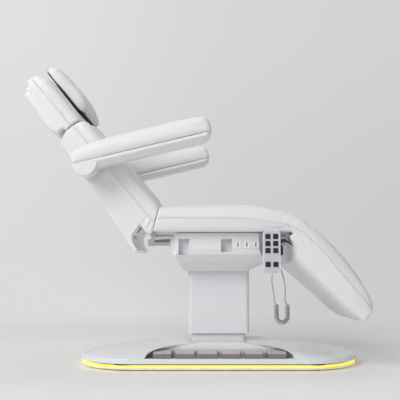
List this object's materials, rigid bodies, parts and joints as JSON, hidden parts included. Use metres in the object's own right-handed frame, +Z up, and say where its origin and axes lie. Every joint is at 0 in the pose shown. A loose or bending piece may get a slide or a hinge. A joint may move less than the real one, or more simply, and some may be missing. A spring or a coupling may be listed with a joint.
{
  "type": "procedure chair",
  "caption": "White upholstered procedure chair on a lifting column, with reclining back, tilting head, folding arms, legrest, foot pedals and a corded handset.",
  "frame": {"origin": "on the floor below the centre of the column, on the middle foot pad", "axes": "+X from the seat to the legrest, +Z up, -Y the side with the handset, switches and pedals"},
  "size_m": [1.3747, 0.8202, 1.2308],
  "materials": {
    "upholstery": "satin",
    "moulding": "satin",
    "column": "satin",
    "frame": "satin",
    "steel": "satin",
    "drive": "matte",
    "foot": "matte",
    "light": "gloss",
    "pedal": "matte",
    "switch": "gloss",
    "handset_case": "gloss",
    "handset_face": "matte",
    "key": "satin",
    "holder": "matte",
    "cord": "satin",
    "wedge": "matte"
  },
  "bodies": {
    "base": {"base_frame": "frame", "base_cover": "moulding", "light_strip": "light", "levelling_feet": "foot", "pedal_tray": "moulding", "column_mast": "column", "lift_actuator": "drive"},
    "pedal_1": {"pedal_1": "pedal"},
    "pedal_2": {"pedal_2": "pedal"},
    "pedal_3": {"pedal_3": "pedal"},
    "pedal_4": {"pedal_4": "pedal"},
    "pedal_5": {"pedal_5": "pedal"},
    "pedal_6": {"pedal_6": "pedal"},
    "seat": {"column_shroud": "column", "shroud_glides": "drive", "lift_rod": "steel", "seat_frame": "frame", "hinge_pins": "steel", "seat_cushion": "upholstery", "seat_housing": "moulding", "control_box": "drive", "handset_holder": "holder", "back_actuator": "drive", "leg_actuator": "drive", "cord_socket": "holder", "cord_drop": "cord", "cord_curl": "cord", "cord_lead": "cord"},
    "rocker_1": {"rocker_1": "switch"},
    "rocker_2": {"rocker_2": "switch"},
    "rocker_3": {"rocker_3": "switch"},
    "back": {"back_frame": "frame", "back_cushion": "upholstery", "back_shell": "moulding", "back_pins": "steel"},
    "back_drive": {"back_rod": "steel"},
    "head": {"head_frame": "frame", "head_cushion": "upholstery", "head_shell": "moulding", "pillow_mount": "wedge"},
    "pillow": {"pillow": "upholstery"},
    "arm_near": {"arm_shell_near": "moulding", "arm_pad_near": "upholstery"},
    "arm_far": {"arm_shell_far": "moulding", "arm_pad_far": "upholstery"},
    "leg": {"leg_frame": "frame", "leg_cushion": "upholstery", "leg_shell": "moulding"},
    "leg_drive": {"leg_rod": "steel"},
    "handset": {"handset_back": "handset_case", "handset_front": "handset_face"},
    "key_1": {"key_1": "key"},
    "key_2": {"key_2": "key"},
    "key_3": {"key_3": "key"},
    "key_4": {"key_4": "key"},
    "key_5": {"key_5": "key"},
    "key_6": {"key_6": "key"},
    "key_7": {"key_7": "key"},
    "key_8": {"key_8": "key"}
  },
  "joints": [
    {"name": "pedal_1_press", "type": "slide", "parent": "base", "child": "pedal_1", "axis": [0, 0, -1], "range_m": [0, 0.0035], "stiffness_N_per_m": 2500, "springref_m": -0.002},
    {"name": "pedal_2_press", "type": "slide", "parent": "base", "child": "pedal_2", "axis": [0, 0, -1], "range_m": [0, 0.0035], "stiffness_N_per_m": 2500, "springref_m": -0.002},
    {"name": "pedal_3_press", "type": "slide", "parent": "base", "child": "pedal_3", "axis": [0, 0, -1], "range_m": [0, 0.0035], "stiffness_N_per_m": 2500, "springref_m": -0.002},
    {"name": "pedal_4_press", "type": "slide", "parent": "base", "child": "pedal_4", "axis": [0, 0, -1], "range_m": [0, 0.0035], "stiffness_N_per_m": 2500, "springref_m": -0.002},
    {"name": "pedal_5_press", "type": "slide", "parent": "base", "child": "pedal_5", "axis": [0, 0, -1], "range_m": [0, 0.0035], "stiffness_N_per_m": 2500, "springref_m": -0.002},
    {"name": "pedal_6_press", "type": "slide", "parent": "base", "child": "pedal_6", "axis": [0, 0, -1], "range_m": [0, 0.0035], "stiffness_N_per_m": 2500, "springref_m": -0.002},
    {"name": "lift", "type": "slide", "parent": "base", "child": "seat", "axis": [0, 0, 1], "range_m": [0, 0.25]},
    {"name": "back_recline", "type": "hinge", "parent": "seat", "child": "back", "pos_m": [-0.262, 0, 0.529], "axis": [0, -1, 0], "range_deg": [0, 50]},
    {"name": "back_drive_slide", "type": "slide", "parent": "seat", "child": "back_drive", "axis": [1, 0, 0], "range_m": [0, 0.02455]},
    {"name": "head_tilt", "type": "hinge", "parent": "back", "child": "head", "pos_m": [-0.62091, 0, 0.91317], "axis": [0, -1, 0], "range_deg": [0, 35]},
    {"name": "pillow_slide", "type": "slide", "parent": "head", "child": "pillow", "axis": [-0.6428, 0, 0.766], "range_m": [-0.02, 0.04]},
    {"name": "arm_near_fold", "type": "hinge", "parent": "back", "child": "arm_near", "pos_m": [-0.50702, 0, 0.7846], "axis": [0, -1, 0], "range_deg": [0, 110]},
    {"name": "arm_far_fold", "type": "hinge", "parent": "back", "child": "arm_far", "pos_m": [-0.50702, 0, 0.7846], "axis": [0, -1, 0], "range_deg": [0, 110]},
    {"name": "leg_raise", "type": "hinge", "parent": "seat", "child": "leg", "pos_m": [0.272, 0, 0.529], "axis": [0, -1, 0], "range_deg": [0, 49]},
    {"name": "leg_drive_slide", "type": "slide", "parent": "seat", "child": "leg_drive", "axis": [1, 0, 0], "range_m": [0, 0.0241]},
    {"name": "handset_pull", "type": "slide", "parent": "seat", "child": "handset", "axis": [0, -1, 0], "range_m": [0, 0.12], "deforming": ["cord_drop", "cord_curl", "cord_lead"]},
    {"name": "rocker_1_tip", "type": "hinge", "parent": "seat", "child": "rocker_1", "pos_m": [0.072, -0.2335, 0.493], "axis": [0, 0, 1], "range_deg": [-6, 6], "stiffness_Nm_per_rad": 0.3},
    {"name": "rocker_2_tip", "type": "hinge", "parent": "seat", "child": "rocker_2", "pos_m": [0.1075, -0.2335, 0.493], "axis": [0, 0, 1], "range_deg": [-6, 6], "stiffness_Nm_per_rad": 0.3},
    {"name": "rocker_3_tip", "type": "hinge", "parent": "seat", "child": "rocker_3", "pos_m": [0.143, -0.2335, 0.493], "axis": [0, 0, 1], "range_deg": [-6, 6], "stiffness_Nm_per_rad": 0.3},
    {"name": "key_1_press", "type": "slide", "parent": "handset", "child": "key_1", "axis": [0, 1, 0], "range_m": [0, 0.0012], "stiffness_N_per_m": 800},
    {"name": "key_2_press", "type": "slide", "parent": "handset", "child": "key_2", "axis": [0, 1, 0], "range_m": [0, 0.0012], "stiffness_N_per_m": 800},
    {"name": "key_3_press", "type": "slide", "parent": "handset", "child": "key_3", "axis": [0, 1, 0], "range_m": [0, 0.0012], "stiffness_N_per_m": 800},
    {"name": "key_4_press", "type": "slide", "parent": "handset", "child": "key_4", "axis": [0, 1, 0], "range_m": [0, 0.0012], "stiffness_N_per_m": 800},
    {"name": "key_5_press", "type": "slide", "parent": "handset", "child": "key_5", "axis": [0, 1, 0], "range_m": [0, 0.0012], "stiffness_N_per_m": 800},
    {"name": "key_6_press", "type": "slide", "parent": "handset", "child": "key_6", "axis": [0, 1, 0], "range_m": [0, 0.0012], "stiffness_N_per_m": 800},
    {"name": "key_7_press", "type": "slide", "parent": "handset", "child": "key_7", "axis": [0, 1, 0], "range_m": [0, 0.0012], "stiffness_N_per_m": 800},
    {"name": "key_8_press", "type": "slide", "parent": "handset", "child": "key_8", "axis": [0, 1, 0], "range_m": [0, 0.0012], "stiffness_N_per_m": 800}
  ],
  "couplings": [
    {"joint": "back_drive_slide", "follows": "back_recline", "m_per_rad": 0.028089},
    {"joint": "leg_drive_slide", "follows": "leg_raise", "m_per_rad": 0.028123}
  ]
}
